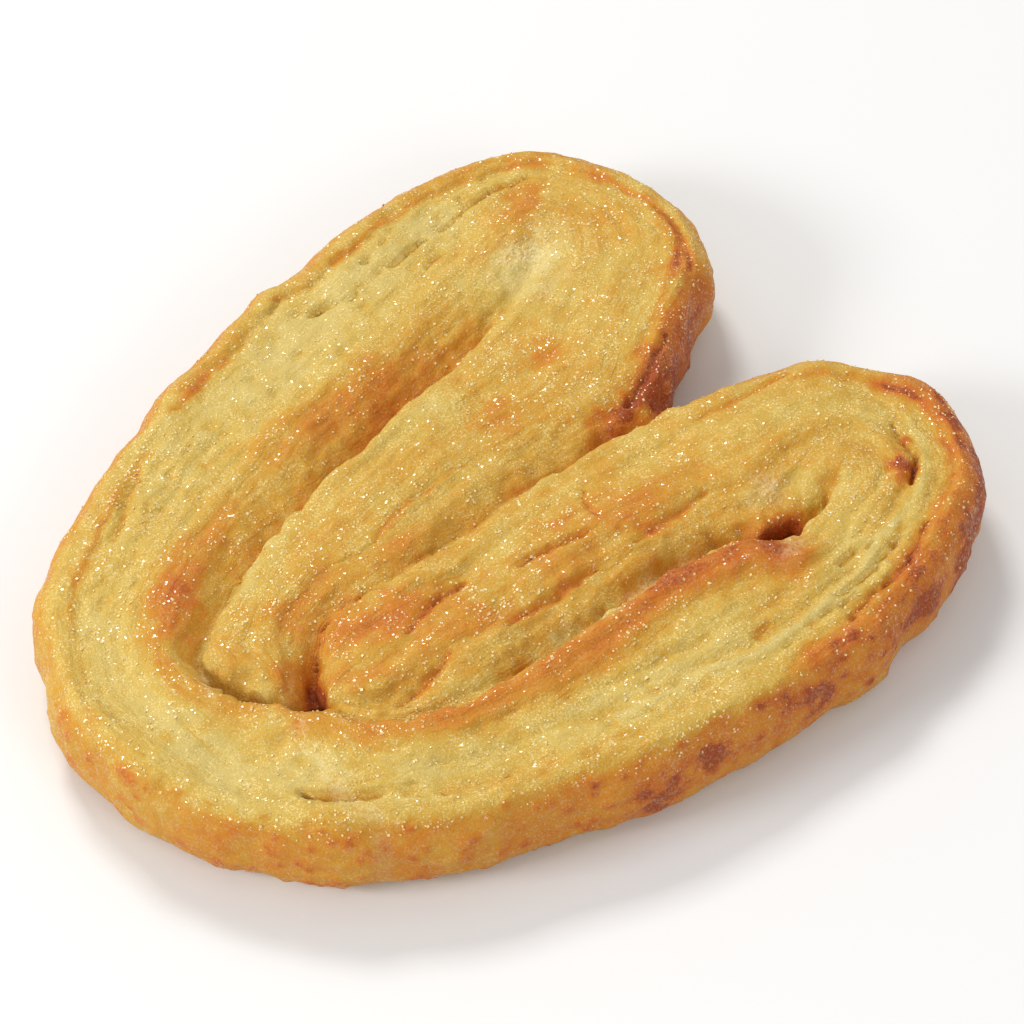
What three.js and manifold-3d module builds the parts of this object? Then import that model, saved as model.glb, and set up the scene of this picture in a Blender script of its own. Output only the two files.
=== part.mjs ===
// A palmier: one sheet of laminated dough, folded in from both ends into two lobes that meet at a
// middle seam, sliced and baked lying flat. The sheet is a single band. It starts at the free end of
// the left tongue, turns round the left tip, runs down the left flank, round the base and up the right
// flank, turns round the right tip and ends at the free end of the right tongue.
// Millimetres, +Z up, +Y from the base towards the tips. The origin is the middle of the underside.
import * as THREE from "three";
import { mergeVertices } from "three/addons/utils/BufferGeometryUtils.js";
import Module from "manifold-3d";

// Overall size
const THICKNESS = 12.6;
const WIDEST_Y = 13; // where the flanks are furthest out

// A place on the band's middle line, with the band's half-width there.
const place = (x, y, half) => ({ x, y, half });
const BASE = place(-4.5, -44, 8.2);

// Each lobe: how its flank bows out, how the sheet turns back at the tip, and its tongue
const LEFT = {
  side: -1,
  flank: place(-31.6, WIDEST_Y, 12.8),
  fullness: 1.16, // above 1, the flank leaves the base more broadly than an ellipse
  growth: 2.1, // above 1, it widens late
  turn: { x: -20.2, y: 32.2, reachX: 10.8, reachY: 10.6 },
  turnHalves: { out: 11.6, corner: 11.2, top: 9.6, back: 10.6 },
  tongue: [place(-8.2, 12, 10.6), place(-7, -12, 9.4), place(-4.6, -26, 8.2)],
  freeEnd: place(-3, -38.6, 7.4),
};
const RIGHT = {
  side: 1,
  flank: place(32.4, WIDEST_Y, 11.4),
  fullness: 0.98,
  growth: 2.2,
  turn: { x: 26.3, y: 27.8, reachX: 9.6, reachY: 12 },
  turnHalves: { out: 9, corner: 10.4, top: 12, back: 12.2 },
  tongue: [place(11.8, 11, 11), place(11.2, -9, 10.6)],
  freeEnd: place(11.4, -33.5, 8),
};

// The band's section
const EDGE_POWER = 5.5; // how square its upper edges are
const UNDERSIDE_POWER = 3; // how square its lower ones are
const SAG = 0.7; // pressed flat by the tray
const WAIST_Z = 0.45 * THICKNESS; // the section is widest here
const LIP = { height: 0.9, at: 0.74, spread: 0.15 }; // raised by the fold, along the inner seam
const SECTION_POINTS = 28;
const END_ROUNDING = 4; // length over which a free end draws in
const END_NARROWING = 0.3; // share of its width that it loses there

// Crumb that joins the folds under the grooves, as far as the notch between the lobes
const CRUMB_TOP = 8.6;
const NOTCH = { x: 3.6, y: 22 };

// Unevenness of the bake
const WAVE = { width: 0.45, height: 0.3 };

// Gaps that the folds leave open
const TIP_HOLE = { x: 27.3, y: 24.4, long: 3.4, wide: 1.3, lean: -0.12 };
const BASE_HOLE = { x: 5.9, y: -31.2, long: 2.7, wide: 1.3, lean: 1.1 };
const BASE_HOLE_FLOOR = 2.5;

const STATION_STEP = 3; // along the band
const FLANK_PLACES = 6;
const TURN_PLACES = 4;

const wasm = await Module();
wasm.setup();

// From the base, up the flank and to the top of the turn.
function flankPlaces(lobe) {
  const places = [];
  for (let i = 1; i <= FLANK_PLACES; i++) {
    const angle = ((i / FLANK_PLACES) * Math.PI) / 2;
    const share = Math.sin(angle);
    const drop = Math.cos(angle) ** (1 / lobe.fullness);
    places.push(
      place(
        THREE.MathUtils.lerp(BASE.x, lobe.flank.x, share),
        THREE.MathUtils.lerp(lobe.flank.y, BASE.y, drop),
        THREE.MathUtils.lerp(BASE.half, lobe.flank.half, share ** lobe.growth),
      ),
    );
  }
  const { out, corner, top } = lobe.turnHalves;
  [out, corner, top].forEach((half, i) => places.push(turnPlace(lobe, i, half)));
  return places;
}

// A quarter of the turn at a time, from the flank over the top to the tongue.
function turnPlace(lobe, quarter, half) {
  const angle = (quarter / TURN_PLACES) * Math.PI;
  const x = lobe.turn.x + lobe.side * lobe.turn.reachX * Math.cos(angle);
  return place(x, lobe.turn.y + lobe.turn.reachY * Math.sin(angle), half);
}

// From past the top of the turn, down the tongue to its free end.
function tonguePlaces(lobe) {
  const { top, back } = lobe.turnHalves;
  const turned = [turnPlace(lobe, 3, (top + back) / 2), turnPlace(lobe, 4, back)];
  return [...turned, ...lobe.tongue, lobe.freeEnd];
}

// The whole band, from the left free end to the right one.
const leftTongue = tonguePlaces(LEFT).reverse();
const rightTongue = tonguePlaces(RIGHT);
const round = [...flankPlaces(LEFT).reverse(), BASE, ...flankPlaces(RIGHT)];
const band = [...leftTongue, ...round, ...rightTongue];
const leftTop = leftTongue.length;
const rightTop = leftTop + round.length - 1;

const middleLine = new THREE.CatmullRomCurve3(
  band.map((p) => new THREE.Vector3(p.x, p.y, 0)),
  false,
  "centripetal",
);

// Slow waves that keep the bake from being regular.
function wave(x, y, seed) {
  const slow = Math.sin(0.21 * x + 0.13 * y + seed);
  const quick = Math.sin(0.37 * y - 0.17 * x + 2.1 * seed);
  return 0.6 * slow + 0.4 * quick;
}

// A ring of points across the band. A share of 1 is its inner face, and of -1 its outer face.
function sectionRing(centre, tangent, half, height) {
  const inward = new THREE.Vector3(-tangent.y, tangent.x, 0).normalize();
  const ring = [];
  for (let i = 0; i < SECTION_POINTS; i++) {
    const angle = (i / SECTION_POINTS) * 2 * Math.PI;
    const c = Math.cos(angle);
    const s = Math.sin(angle);
    const power = s > 0 ? EDGE_POWER : UNDERSIDE_POWER;
    const radius = (Math.abs(c) ** power + Math.abs(s) ** power) ** (-1 / power);
    const share = c * radius;
    const climb = s * radius;
    const lip = LIP.height * Math.exp(-(((share - LIP.at) / LIP.spread) ** 2));
    const z = WAIST_Z + climb * (s > 0 ? height - WAIST_Z + lip : WAIST_Z + SAG);
    ring.push(centre.clone().addScaledVector(inward, share * half).setZ(z));
  }
  return ring;
}

// The band between two of its places, as a closed solid. An open end is drawn in and rounded.
function sweep(from, to, freeEnd) {
  const rings = [];
  for (let i = from; i < to; i++) {
    const steps = Math.ceil(Math.hypot(band[i + 1].x - band[i].x, band[i + 1].y - band[i].y) / STATION_STEP);
    const last = i + 1 === to ? steps : steps - 1;
    for (let k = 0; k <= last; k++) {
      const share = k / steps;
      const t = (i + share) / (band.length - 1);
      const centre = middleLine.getPoint(t);
      const smooth = THREE.MathUtils.smoothstep(share, 0, 1);
      const half = THREE.MathUtils.lerp(band[i].half, band[i + 1].half, smooth);
      const away = freeEnd === null ? END_ROUNDING : Math.hypot(centre.x - freeEnd.x, centre.y - freeEnd.y);
      const drawn = Math.sqrt(1 - (1 - Math.min(1, away / END_ROUNDING)) ** 2);
      rings.push(
        sectionRing(
          centre,
          middleLine.getTangent(t),
          half * (1 - END_NARROWING * (1 - drawn)) + WAVE.width * wave(centre.x, centre.y, 1.3),
          THICKNESS * (0.8 + 0.2 * drawn) + WAVE.height * wave(centre.y, centre.x, 4.2),
        ),
      );
    }
  }
  return solidThrough(rings);
}

function solidThrough(rings) {
  const n = SECTION_POINTS;
  const index = [];
  for (let r = 0; r + 1 < rings.length; r++) {
    for (let i = 0; i < n; i++) {
      const a = r * n + i;
      const b = r * n + ((i + 1) % n);
      index.push(a, b, a + n, b, b + n, a + n);
    }
  }
  const end = (rings.length - 1) * n;
  for (let i = 1; i + 1 < n; i++) {
    index.push(0, i + 1, i);
    index.push(end, end + i, end + i + 1);
  }
  const geometry = new THREE.BufferGeometry().setFromPoints(rings.flat());
  geometry.setIndex(index);
  return manifoldOf(geometry);
}

function manifoldOf(geometry) {
  const bare = geometry.clone();
  bare.deleteAttribute("normal");
  bare.deleteAttribute("uv");
  const merged = mergeVertices(bare, 1e-4);
  return new wasm.Manifold(
    new wasm.Mesh({
      numProp: 3,
      vertProperties: new Float32Array(merged.attributes.position.array),
      triVerts: new Uint32Array(merged.index.array),
    }),
  );
}

// The inside of the loop that the band makes, up to the floor of the grooves.
function crumb() {
  const outline = middleLine.getPoints(8 * (band.length - 1)).slice(8 * leftTop, 8 * rightTop + 1);
  const shape = new THREE.Shape([...outline, new THREE.Vector2(NOTCH.x, NOTCH.y)]);
  const filling = new THREE.ExtrudeGeometry(shape, { depth: CRUMB_TOP + 2 * SAG, bevelEnabled: false });
  filling.translate(0, 0, -2 * SAG);
  return manifoldOf(filling);
}

// The flat tray, with its top at height 0.
function tray() {
  const slab = new THREE.BoxGeometry(200, 200, 20);
  slab.translate(0, 0, -10);
  return manifoldOf(slab);
}

// An upright elliptical gap, cut down to the height floor.
function gap(hole, floor) {
  const cutter = new THREE.CylinderGeometry(hole.wide, hole.wide, 2 * THICKNESS, 20);
  cutter.rotateX(Math.PI / 2);
  cutter.scale(1, hole.long / hole.wide, 1);
  cutter.rotateZ(hole.lean);
  cutter.translate(hole.x, hole.y, floor + THICKNESS);
  return manifoldOf(cutter);
}

function geometryOf(solid) {
  const mesh = solid.getMesh();
  const geometry = new THREE.BufferGeometry();
  geometry.setAttribute("position", new THREE.BufferAttribute(mesh.vertProperties, 3));
  geometry.setIndex(new THREE.BufferAttribute(mesh.triVerts, 1));
  geometry.computeVertexNormals();
  return geometry;
}

const dough = sweep(leftTop, rightTop, null)
  .add(sweep(0, leftTop, LEFT.freeEnd))
  .add(sweep(rightTop, band.length - 1, RIGHT.freeEnd))
  .add(crumb())
  .subtract(tray())
  .subtract(gap(TIP_HOLE, -THICKNESS / 2))
  .subtract(gap(BASE_HOLE, BASE_HOLE_FLOOR));

const goldenCrust = new THREE.MeshStandardMaterial({ color: 0xdcb45a, roughness: 0.5, metalness: 0 });

const pastry = new THREE.Mesh(geometryOf(dough), goldenCrust);
pastry.name = "folded_pastry";

const palmier = new THREE.Group();
palmier.add(pastry);

export default palmier;
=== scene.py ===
import math
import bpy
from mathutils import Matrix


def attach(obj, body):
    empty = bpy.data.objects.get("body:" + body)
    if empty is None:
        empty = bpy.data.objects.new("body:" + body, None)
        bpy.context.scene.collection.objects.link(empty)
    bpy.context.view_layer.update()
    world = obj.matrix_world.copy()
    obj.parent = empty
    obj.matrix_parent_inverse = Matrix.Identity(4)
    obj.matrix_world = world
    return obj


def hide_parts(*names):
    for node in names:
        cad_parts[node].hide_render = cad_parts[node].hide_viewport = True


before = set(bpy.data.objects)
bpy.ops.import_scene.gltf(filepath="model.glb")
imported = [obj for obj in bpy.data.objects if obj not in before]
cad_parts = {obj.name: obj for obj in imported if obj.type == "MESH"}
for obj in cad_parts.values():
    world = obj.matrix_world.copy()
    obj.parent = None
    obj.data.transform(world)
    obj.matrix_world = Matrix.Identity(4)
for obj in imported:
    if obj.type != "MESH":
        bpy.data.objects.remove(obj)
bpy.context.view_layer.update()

from types import SimpleNamespace

import bpy
import numpy as np
from mathutils import Vector

bl_info = {
    "name": "Palmier pastry",
    "version": (1, 0, 0),
    "blender": (4, 5, 0),
    "location": "3D View > Sidebar > Palmier",
    "description": "A baked palmier: folded puff pastry with browned layers and baked-on sugar",
    "category": "Object",
}

MM = 0.001
CAD_NODE = "folded_pastry"

# Sheets of dough across one fold
LAYERS = 24.0
# The box that the dough is worked out in, in millimetres
GRID_LOW = (-47.5, -55.5, -0.9)
GRID_SIZE = (96.0, 111.5)
ROOM_ABOVE = 4.2
# Glossy facets in each millimetre of glazed crust
FACETS_PER_MM = 4.5
# What the camera looks at, in millimetres, and half the table's width in metres
CAMERA_TARGET = (1.0, 5.5, 7.0)
TABLE_REACH = 1.5

# ---------------------------------------------------------------------------------------------
# The pastry's plan, in millimetres: x across the lobes, y from the base to the tips
# ---------------------------------------------------------------------------------------------

# The outline where the crust bulges most, anticlockwise from the notch between the lobes
NOTCH = [(4.2, 28.5)]
LEFT_LOBE = [
    (0.4, 34.4), (-3.2, 41.2), (-6.4, 47.4), (-10.6, 51.2), (-15.6, 53.0), (-22.5, 53.0),
    (-30.6, 50.9), (-37.0, 47.2), (-41.0, 41.0), (-43.2, 33.0), (-44.0, 24.0), (-43.2, 16.0),
    (-42.5, 11.0), (-43.6, 6.4), (-42.2, 0.6), (-40.9, -6.0), (-38.4, -16.4), (-34.8, -26.0), (-30.2, -36.0),
]
BASE_CURVE = [(-25.2, -43.8), (-17.0, -49.6), (-7.9, -52.6), (2.5, -52.2), (12.0, -49.0)]
RIGHT_LOBE = [
    (20.4, -43.9), (27.1, -36.5), (32.4, -27.9), (36.4, -19.1), (40.0, -9.9), (42.5, 0.3),
    (44.4, 10.4), (45.1, 20.5), (43.5, 30.6), (41.2, 39.5), (38.1, 45.8), (32.0, 50.3),
    (25.0, 52.2), (17.6, 49.8), (11.4, 45.2), (8.2, 38.8), (6.0, 32.6),
]

# Grooves: x, y, depth, and how far each side slopes (left of the line's direction, then right)
FOLD_GROOVE = [
    (-24.6, 36.6, 0.0, 2.0, 2.0), (-22.6, 33.6, 1.2, 1.2, 2.6), (-20.4, 28.0, 2.0, 0.8, 4.0),
    (-18.8, 20.0, 3.0, 0.6, 5.0), (-17.4, 9.0, 4.2, 0.5, 5.2), (-15.9, -0.5, 4.4, 0.5, 5.0),
    (-14.6, -11.0, 3.5, 0.5, 5.0), (-12.8, -21.0, 3.0, 0.6, 4.4), (-10.0, -29.0, 2.6, 0.7, 3.4),
    (-8.2, -33.0, 2.6, 0.7, 2.6), (-5.8, -36.4, 3.0, 0.8, 1.2), (-2.4, -36.8, 3.8, 1.1, 0.7),
    (2.8, -35.3, 4.4, 1.8, 0.6), (6.2, -33.5, 5.0, 2.2, 0.6), (9.0, -31.2, 3.0, 1.6, 0.6),
    (11.6, -29.8, 1.1, 1.6, 0.8), (14.8, -27.8, 1.0, 2.2, 0.9), (18.2, -21.8, 1.4, 2.6, 0.9),
    (20.2, -13.8, 2.2, 2.6, 0.8), (20.6, -5.4, 3.0, 2.6, 0.7),
    (21.1, 3.5, 3.6, 2.8, 0.6), (21.9, 11.5, 3.6, 3.0, 0.6), (24.2, 18.3, 4.4, 3.2, 0.6),
    (27.5, 21.0, 5.4, 3.2, 0.5), (27.7, 24.7, 5.6, 3.4, 0.5), (27.7, 27.1, 4.6, 3.4, 0.5),
    (27.2, 30.2, 3.0, 3.2, 0.6), (26.5, 33.3, 0.0, 2.4, 1.4),
]
DIVIDING_GROOVE = [
    (4.9, 31.0, 5.5, 1.0, 3.4), (4.4, 27.0, 4.9, 0.9, 3.8), (3.2, 18.5, 3.6, 0.7, 3.4),
    (2.0, 10.5, 3.0, 0.7, 3.0), (1.2, 4.0, 2.2, 0.7, 2.8), (1.4, -5.0, 2.4, 0.7, 2.8),
    (1.2, -13.0, 1.9, 0.7, 2.4), (0.6, -19.0, 1.7, 0.7, 2.2), (1.4, -24.6, 2.4, 0.5, 2.0),
    (4.7, -28.4, 4.2, 0.5, 2.2), (7.3, -31.0, 5.0, 0.6, 2.2),
]
# The raised, well-browned edge of the right flank: x, y, height
FLANK_RIDGE = [
    (3.1, -38.2, 0.1), (8.2, -34.1, 0.6), (15.0, -30.3, 1.0), (20.1, -22.8, 1.4), (22.3, -11.5, 1.7),
    (23.7, -2.3, 1.9), (24.6, 8.2, 1.9), (26.9, 16.0, 1.9), (30.8, 19.9, 0.8),
]

# Gaps between the folds: centre, half length and half width, lean, sideways drift and narrowing for each
# millimetre of depth, and the height of the floor, which is below the tray where the gap goes through
TIP_HOLE = {
    "x": 27.0, "y": 22.9, "long": 3.2, "wide": 1.9, "lean": 0.0,
    "drift": 0.06, "taper": 0.04, "floor": -4.0,
}
BASE_PIT = {
    "x": 7.5, "y": -30.2, "long": 1.9, "wide": 0.8, "lean": -1.2,
    "drift": 0.0, "taper": 0.04, "floor": 4.0,
}

# Cracks where layers part: start, middle and end in plan, width, depth
CRACKS = [
    ((-34.0, 28.4), (-34.5, 36.2), (-32.5, 42.5), 0.5, 0.9),
    ((-33.6, 19.2), (-34.0, 22.8), (-34.2, 26.3), 0.5, 1.0),
    ((-36.9, 20.5), (-37.1, 21.5), (-37.4, 22.6), 0.45, 0.8),
    ((-36.1, 17.3), (-36.3, 18.1), (-36.4, 19.0), 0.45, 0.7),
    ((-30.6, 22.3), (-31.1, 24.0), (-31.5, 25.9), 0.45, 0.6),
    ((-34.4, 10.4), (-34.6, 8.6), (-34.6, 6.6), 0.8, 0.9),
    ((-29.6, -24.0), (-27.4, -28.0), (-24.6, -32.2), 0.6, 0.5),
    ((15.0, -40.8), (18.2, -38.6), (22.0, -34.4), 0.8, 1.2),
    ((-2.6, -43.0), (3.0, -43.6), (7.4, -42.9), 0.42, 0.35),
    ((7.6, 10.8), (9.4, 9.0), (12.0, 8.6), 0.5, 0.5),
    ((12.2, 6.6), (11.0, 2.0), (10.0, -3.0), 0.6, 0.8),
    ((7.6, -8.0), (7.4, -13.0), (8.6, -18.6), 0.7, 0.7),
    ((13.2, -16.0), (14.4, -20.6), (14.2, -25.4), 0.7, 0.7),
    ((16.0, 4.0), (15.6, -3.0), (15.0, -9.6), 0.7, 0.7),
    ((17.4, 20.6), (17.0, 14.4), (16.4, 9.0), 0.6, 0.5),
    ((21.2, -8.8), (20.8, -10.8), (19.8, -13.0), 0.9, 1.1),
    ((22.2, 15.6), (21.4, 13.2), (20.4, 10.6), 0.9, 1.1),
    ((25.4, 42.7), (28.1, 42.0), (30.5, 40.7), 0.45, 0.9),
    ((30.3, 41.1), (31.9, 39.8), (33.4, 37.4), 0.5, 1.3),
    ((38.0, 35.0), (40.2, 28.4), (40.7, 18.4), 0.7, 0.8),
    ((36.6, 33.2), (38.0, 26.4), (38.0, 19.0), 0.5, 0.5),
    ((34.8, 26.2), (35.0, 24.4), (35.1, 22.6), 0.7, 0.8),
    ((35.2, 11.6), (35.4, 10.0), (35.2, 8.2), 0.5, 0.4),
    ((-7.4, 44.0), (-12.0, 47.6), (-18.0, 48.6), 0.6, 0.6),
    ((1.0, 24.0), (-0.4, 30.0), (-3.0, 35.0), 0.7, 0.8),
    ((-5.0, 4.0), (-5.2, -4.0), (-4.0, -12.0), 0.5, 0.3),
    ((12.0, 40.0), (11.0, 33.0), (9.6, 26.0), 0.5, 0.4),
]

# Browner places: x, y, half length, half width, lean from +Y, how much
BROWNED = [
    (-22.4, -6.5, 8.0, 3.0, -0.12, 0.15), (-23.4, 5.0, 5.6, 3.4, 0.05, 0.20),
    (-17.6, -25.0, 8.0, 2.4, 0.30, 0.16), (-13.0, -33.6, 6.0, 2.2, 0.75, 0.34),
    (-21.0, 14.0, 8.0, 1.8, -0.14, 0.07), (-32.4, 38.2, 4.4, 2.4, 0.3, 0.22),
    (-11.2, 21.6, 3.6, 1.9, 0.1, 0.14), (-7.0, 12.4, 4.4, 2.6, -0.2, 0.12),
    (-1.8, -12.8, 5.0, 2.0, 0.05, 0.10), (-3.0, -24.0, 7.0, 2.4, 0.2, 0.24),
    (1.2, -22.6, 3.0, 1.6, 0.2, 0.16), (5.4, -18.0, 8.0, 3.0, -0.30, 0.46),
    (12.6, -12.4, 6.5, 2.2, -0.4, 0.30), (13.6, 13.6, 3.8, 1.8, -0.1, 0.16),
    (12.0, 1.4, 7.5, 2.4, 0.05, 0.10), (8.0, 4.8, 2.6, 1.6, 0.1, 0.16),
    (9.0, -25.6, 5.0, 1.8, -0.7, 0.16), (3.2, -30.4, 4.4, 1.6, -0.9, 0.24),
    (25.8, 23.4, 3.2, 2.0, -0.1, 0.28), (30.8, 38.6, 2.6, 1.5, 0.7, 0.60),
    (33.4, 40.6, 3.0, 1.2, 0.9, 0.26), (-14.4, 46.4, 4.5, 1.8, 1.5, 0.10),
    (-8.4, 43.6, 4.5, 2.0, 0.9, 0.34), (-34.6, 46.0, 4.5, 2.0, -0.8, 0.24),
    (-2.6, 35.6, 9.0, 2.2, 0.38, 0.5), (1.4, 24.0, 6.0, 2.0, 0.12, 0.55),
    (-6.0, -39.8, 5.0, 1.4, 1.3, 0.20), (18.4, 46.6, 5.0, 1.8, -1.2, 0.14),
    (36.0, 8.0, 9.0, 2.6, 0.05, 0.08), (28.0, -24.6, 6.0, 1.4, -0.6, 0.12),
    (34.0, 16.0, 8.0, 2.6, 0.05, 0.08), (-30.1, 39.4, 3.4, 1.8, 0.4, 0.26),
    (-11.0, 22.3, 3.0, 1.8, 0.1, 0.16), (-8.7, 11.3, 2.6, 1.6, 0.2, 0.16),
    (0.1, -8.2, 4.0, 2.0, 0.3, 0.08), (15.5, 11.4, 3.0, 1.0, -0.5, 0.2),
]
# Scorched places on the outer crust, and painted shade on the wall of the notch between the lobes: x, y,
# height, radius, how much
SCORCH_AND_NOTCH_SHADE = [
    (34.5, 46.8, 9.0, 2.4, 0.55), (38.2, 43.4, 8.0, 2.4, 0.5), (41.0, 38.4, 7.0, 2.2, 0.45),
    (43.6, 28.0, 7.5, 2.4, 0.45), (38.7, -10.3, 5.5, 3.91, 0.44), (36.2, -14.4, 5.0, 2.53, 0.37),
    (40.5, -4.2, 8.0, 2.76, 0.48), (33.7, -15.4, 9.0, 2.3, 0.27), (40.4, -10.5, 3.0, 2.07, 0.34),
    (43.0, 11.2, 7.0, 2.64, 0.51), (42.6, 9.0, 4.0, 1.72, 0.58), (40.6, 4.2, 9.5, 1.84, 0.27),
    (42.8, 20.4, 9.0, 1.26, 0.62), (42.3, 18.4, 9.5, 0.8, 0.61), (42.7, 14.7, 9.0, 1.38, 0.31),
    (41.4, 30.4, 9.0, 2.07, 0.54), (40.2, 34.6, 8.5, 1.84, 0.61), (42.8, 30.5, 6.0, 1.38, 0.44),
    (42.7, 26.0, 8.5, 1.03, 0.34), (38.3, 38.8, 9.0, 1.49, 0.37), (31.5, 48.9, 9.5, 2.53, 0.44),
    (28.4, 48.5, 10.5, 2.53, 0.37), (23.7, 47.6, 11.0, 2.07, 0.34), (34.8, 45.8, 9.0, 1.38, 0.58),
    (37.5, 43.9, 7.5, 1.15, 0.62), (40.1, 39.4, 5.0, 1.15, 0.58), (42.9, 35.1, 3.5, 1.26, 0.51),
    # The places round the notch between the lobes are painted shade on its wall
    (0.2, 32.3, 9.5, 2.99, 0.2), (1.6, 28.6, 10.0, 1.61, 0.26), (-5.4, 43.9, 9.0, 2.99, 0.12),
    (-2.9, 39.6, 7.0, 2.53, 0.12), (-9.6, 49.3, 8.5, 1.84, 0.09), (21.5, -38.0, 5.0, 0.92, 0.34),
    (28.2, -32.9, 4.0, 0.92, 0.34), (29.6, -29.8, 6.0, 0.8, 0.37), (21.8, -36.4, 8.5, 0.69, 0.27),
    (31.5, -23.8, 8.5, 0.69, 0.27), (30.7, 39.4, 12.0, 1.2, 0.55), (31.7, 39.6, 11.6, 0.8, 0.8),
    (28.3, 42.0, 12.0, 0.6, 0.6), (40.2, -6.4, 6.5, 1.6, 0.3), (24.6, 45.6, 11.5, 1.2, 0.3),
    (33.9, 43.1, 10.5, 0.8, 0.5), (37.6, 35.9, 10.8, 0.7, 0.45), (39.1, 31.6, 10.8, 0.8, 0.45),
]
# Places where the crumb stays pale
PALE = [
    (-21.4, 31.6, 5.4, 2.4, 0.0, 0.46), (-24.6, 26.0, 8.0, 2.0, 0.0, 0.14),
    (24.0, 29.6, 2.4, 1.8, 0.0, 0.24), (-15.0, 35.0, 5.0, 3.0, 0.2, 0.14),
    (21.4, 3.6, 7.5, 1.6, -0.08, 0.30), (22.4, 13.0, 4.5, 2.0, -0.3, 0.26),
    (-13.0, 4.0, 10.0, 1.6, -0.12, 0.12), (-10.4, -24.0, 7.0, 1.4, 0.2, 0.20),
    (-7.0, -38.8, 3.6, 1.2, 1.1, 0.26), (4.4, -35.6, 5.6, 1.0, 1.1, 0.20),
    (-4.0, -2.0, 8.0, 3.2, 0.0, 0.12), (18.0, 36.0, 5.0, 3.0, -0.4, 0.12),
    (1.6, -44.4, 12.0, 2.4, 1.5, 0.22), (16.0, -34.6, 8.0, 2.2, -0.7, 0.14),
    (30.8, -10.0, 24.0, 3.0, -0.28, 0.12), (-33.4, -2.0, 34.0, 3.4, 0.08, 0.14),
    (34.8, 27.0, 12.0, 2.4, 0.1, 0.06), (-28.4, 2.0, 14.0, 2.0, 0.08, 0.10),
    (19.2, -16.7, 5.0, 1.1, -0.55, 0.24), (20.7, -5.5, 4.0, 1.0, -0.1, 0.3),
    (21.1, -1.5, 3.0, 1.4, -0.1, 0.2),
]

# Places where sugar dried white
FROSTED = [
    (21.2, -2.2, 3.6, 1.3, -0.1, 0.42), (21.6, 5.0, 2.6, 1.4, -0.1, 0.5),
    (-23.5, 33.0, 4.6, 2.4, -0.1, 0.55), (-18.3, 30.4, 4.0, 1.2, 0.0, 0.25),
    (21.6, 9.6, 3.0, 1.3, -0.1, 0.5), (22.3, 14.0, 3.0, 1.2, -0.3, 0.3),
    (21.8, 25.2, 2.2, 1.4, 0.0, 0.45), (-2.8, -37.8, 3.4, 0.7, 1.1, 0.45),
    (7.7, -33.6, 4.6, 0.6, 1.15, 0.3), (-9.5, 50.3, 3.0, 1.0, 0.2, 0.15),
    (18.5, -37.0, 7.0, 0.8, 1.5, 0.35), (30.5, 20.8, 3.0, 0.8, 0.4, 0.3),
]

# Number of blisters on the outer crust
BLISTERS = 150


# ---------------------------------------------------------------------------------------------
# Sizes and colours that a user may change
# ---------------------------------------------------------------------------------------------


class PalmierDough(bpy.types.PropertyGroup):
    """The folded dough: sizes"""

    level: bpy.props.FloatProperty(
        name="Level",
        description="Height of the flat of the folds above the tray",
        default=0.0122,
        unit="LENGTH",
    )
    relief: bpy.props.FloatProperty(
        name="Relief",
        description="Strength of the layers' relief",
        default=1.0,
        min=0.0,
        max=2.0,
        subtype="FACTOR",
    )
    mesh_step: bpy.props.FloatProperty(
        name="Mesh step",
        description="Distance between the points of the crust's mesh",
        default=0.00045,
        unit="LENGTH",
    )


class PalmierColours(bpy.types.PropertyGroup):
    """The crust, from pale crumb to burnt sugar"""

    crumb: bpy.props.FloatVectorProperty(
        name="Crumb",
        description="Pale inner layers",
        default=(0.585, 0.440, 0.130),
        subtype="COLOR",
        min=0.0,
        max=1.0,
    )
    straw: bpy.props.FloatVectorProperty(
        name="Straw",
        description="Lightly baked layers",
        default=(0.565, 0.370, 0.062),
        subtype="COLOR",
        min=0.0,
        max=1.0,
    )
    golden: bpy.props.FloatVectorProperty(
        name="Golden",
        description="Golden crust",
        default=(0.56, 0.285, 0.026),
        subtype="COLOR",
        min=0.0,
        max=1.0,
    )
    amber: bpy.props.FloatVectorProperty(
        name="Amber",
        description="Caramelised crust",
        default=(0.56, 0.190, 0.012),
        subtype="COLOR",
        min=0.0,
        max=1.0,
    )
    chestnut: bpy.props.FloatVectorProperty(
        name="Chestnut",
        description="Well-browned crust",
        default=(0.49, 0.115, 0.010),
        subtype="COLOR",
        min=0.0,
        max=1.0,
    )
    burnt: bpy.props.FloatVectorProperty(
        name="Burnt sugar",
        description="Darkest specks",
        default=(0.31, 0.050, 0.008),
        subtype="COLOR",
        min=0.0,
        max=1.0,
    )


class PalmierSugar(bpy.types.PropertyGroup):
    """Grains of sugar baked on to the layers"""

    count: bpy.props.IntProperty(
        name="Grains",
        description="Number of grains",
        default=9500,
        min=100,
        max=16000,
    )
    smallest: bpy.props.FloatProperty(
        name="Smallest", description="Edge of the smallest grains", default=0.00012, unit="LENGTH"
    )
    largest: bpy.props.FloatProperty(
        name="Largest", description="Edge of the largest grains", default=0.0003, unit="LENGTH"
    )
    seed: bpy.props.IntProperty(name="Seed", description="Chooses where the grains fall", default=21)


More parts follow.
